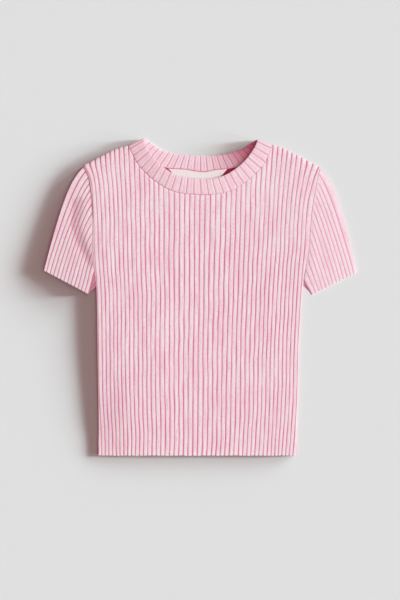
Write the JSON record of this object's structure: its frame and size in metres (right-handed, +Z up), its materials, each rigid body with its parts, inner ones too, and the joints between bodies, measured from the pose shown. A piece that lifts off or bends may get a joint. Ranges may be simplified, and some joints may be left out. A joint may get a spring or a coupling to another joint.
{
  "type": "crop top",
  "caption": "Short-sleeved crop top in a wide rib knit, laid flat with its front up: a boxy body, slanting sleeves, a deep ribbed neckband and a bare neck label.",
  "frame": {"origin": "on the surface that the garment rests on, under the middle of its outline", "axes": "+Z up from that surface, +Y along the cloth from the hem to the neck, +X to the viewer's right"},
  "size_m": [0.4392, 0.4428, 0.0078],
  "materials": {
    "rib_knit": "matt pale pink mottled rib knit",
    "neckband_knit": "matt pale pink finer rib knit",
    "label_cloth": "matt off-white woven tape"
  },
  "bodies": {
    "root": {"front_panel": "rib_knit", "back_panel": "rib_knit", "sleeve_left": "rib_knit", "sleeve_right": "rib_knit", "neckband": "neckband_knit", "neck_label": "label_cloth"}
  },
  "joints": []
}
